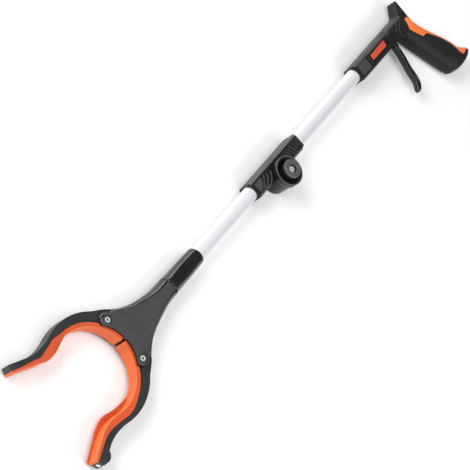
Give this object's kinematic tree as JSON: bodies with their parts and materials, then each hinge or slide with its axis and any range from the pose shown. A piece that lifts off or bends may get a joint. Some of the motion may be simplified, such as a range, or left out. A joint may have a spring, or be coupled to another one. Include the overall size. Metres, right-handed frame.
{
  "type": "reacher grabber",
  "caption": "Folding reacher grabber: pistol handle with trigger, two tubes with a locking fold hinge, and a swivelling claw head with two padded jaws.",
  "frame": {"origin": "the fold hinge's axis where it meets the surface that the grabber lies on, at the middle of the hinge nut's flat face", "axes": "+X along the tubes from the claw to the handle, +Y away from the grip, +Z along the fold axis, out of the lock button"},
  "size_m": [0.7988, 0.1609, 0.0405],
  "materials": {
    "handle_plastic": "moulded glass-filled nylon, satin with a fine spark texture",
    "grip_rubber": "soft matt overmoulded rubber",
    "orange_strap": "soft orange overmoulded rubber",
    "badge": "orange-red printed inlay with no lettering",
    "gloss_plastic": "black moulded plastic, polished",
    "hinge_plastic": "black moulded plastic with a dimpled texture",
    "cap_plastic": "dark grey moulded plastic",
    "head_plastic": "dark grey satin moulded plastic",
    "jaw_plastic": "black moulded plastic, semi-gloss",
    "orange_rubber": "soft orange non-slip rubber",
    "aluminium_tube": "silver anodised tube, satin",
    "bright_steel": "nickel-plated steel",
    "steel": "plain steel",
    "seal_rubber": "soft black rubber"
  },
  "bodies": {
    "handle_arm": {"handle_shell_front": "handle_plastic", "handle_shell_back": "handle_plastic", "handle_screws": "steel", "badge_inlay": "badge", "grip_sleeve": "grip_rubber", "grip_backstrap": "orange_strap", "trigger_pin": "steel", "trigger_spring": "steel", "upper_tube": "aluminium_tube", "upper_tube_pin": "steel", "upper_hinge_half": "hinge_plastic", "hinge_bolt": "bright_steel", "hinge_washer": "steel", "hinge_nut": "hinge_plastic", "lock_spring": "steel", "button_ring": "hinge_plastic"},
    "trigger_body": {"trigger_lever": "gloss_plastic"},
    "cable_pull": {"cable_nipple": "steel", "pull_cable_rear": "steel", "pull_cable_span": "steel"},
    "lock_body": {"button_cap": "cap_plastic", "lock_gear": "steel"},
    "claw_arm": {"lower_hinge_half": "hinge_plastic", "lower_tube": "aluminium_tube", "lower_tube_pin": "steel", "swivel_collar": "gloss_plastic"},
    "claw_head": {"head_shell_front": "head_plastic", "head_shell_back": "head_plastic", "head_screws": "steel", "jaw_rivets": "bright_steel", "return_spring": "steel", "friction_ring": "seal_rubber"},
    "crosshead_body": {"crosshead": "steel", "crosshead_pins": "steel", "cable_ferrule": "steel", "pull_cable_front": "steel"},
    "upper_jaw_body": {"jaw_upper": "jaw_plastic", "jaw_pad_upper": "orange_rubber"},
    "lower_jaw_body": {"jaw_lower": "jaw_plastic", "jaw_pad_lower": "orange_rubber", "magnet": "bright_steel"}
  },
  "joints": [
    {"name": "fold", "type": "hinge", "parent": "handle_arm", "child": "claw_arm", "pos_m": [0, 0, 0.014], "axis": [0, 0, 1], "range_deg": [0, 150], "deforming": ["pull_cable_span"]},
    {"name": "head_turn", "type": "hinge", "parent": "claw_arm", "child": "claw_head", "pos_m": [-0.22, 0.0125, 0.014], "axis": [1, 0, 0], "range_deg": [0, 90]},
    {"name": "trigger", "type": "hinge", "parent": "handle_arm", "child": "trigger_body", "pos_m": [0.3125, 0.0235, 0.014], "axis": [0, 0, 1], "range_deg": [0, 19], "stiffness_Nm_per_rad": 1.2, "springref_deg": -14.32},
    {"name": "lock_button", "type": "slide", "parent": "handle_arm", "child": "lock_body", "axis": [0, 0, -1], "range_m": [0, 0.003], "stiffness_N_per_m": 900, "springref_m": -0.002, "deforming": ["lock_spring"]},
    {"name": "cable_run", "type": "slide", "parent": "handle_arm", "child": "cable_pull", "axis": [1, 0, 0], "range_m": [0, 0.0065], "deforming": ["pull_cable_span"]},
    {"name": "crosshead_run", "type": "slide", "parent": "claw_head", "child": "crosshead_body", "axis": [1, 0, 0], "range_m": [0, 0.0065], "deforming": ["return_spring"]},
    {"name": "upper_jaw_turn", "type": "hinge", "parent": "claw_head", "child": "upper_jaw_body", "pos_m": [-0.311, 0.04, 0.014], "axis": [0, 0, 1], "range_deg": [0, 26.2]},
    {"name": "lower_jaw_turn", "type": "hinge", "parent": "claw_head", "child": "lower_jaw_body", "pos_m": [-0.311, -0.015, 0.014], "axis": [0, 0, 1], "range_deg": [-26.2, 0]}
  ],
  "couplings": [
    {"joint": "cable_run", "follows": "trigger", "m_per_rad": 0.01933},
    {"joint": "crosshead_run", "follows": "trigger", "m_per_rad": 0.01933},
    {"joint": "upper_jaw_turn", "follows": "trigger", "ratio": 1.3684},
    {"joint": "lower_jaw_turn", "follows": "trigger", "ratio": -1.3684}
  ]
}
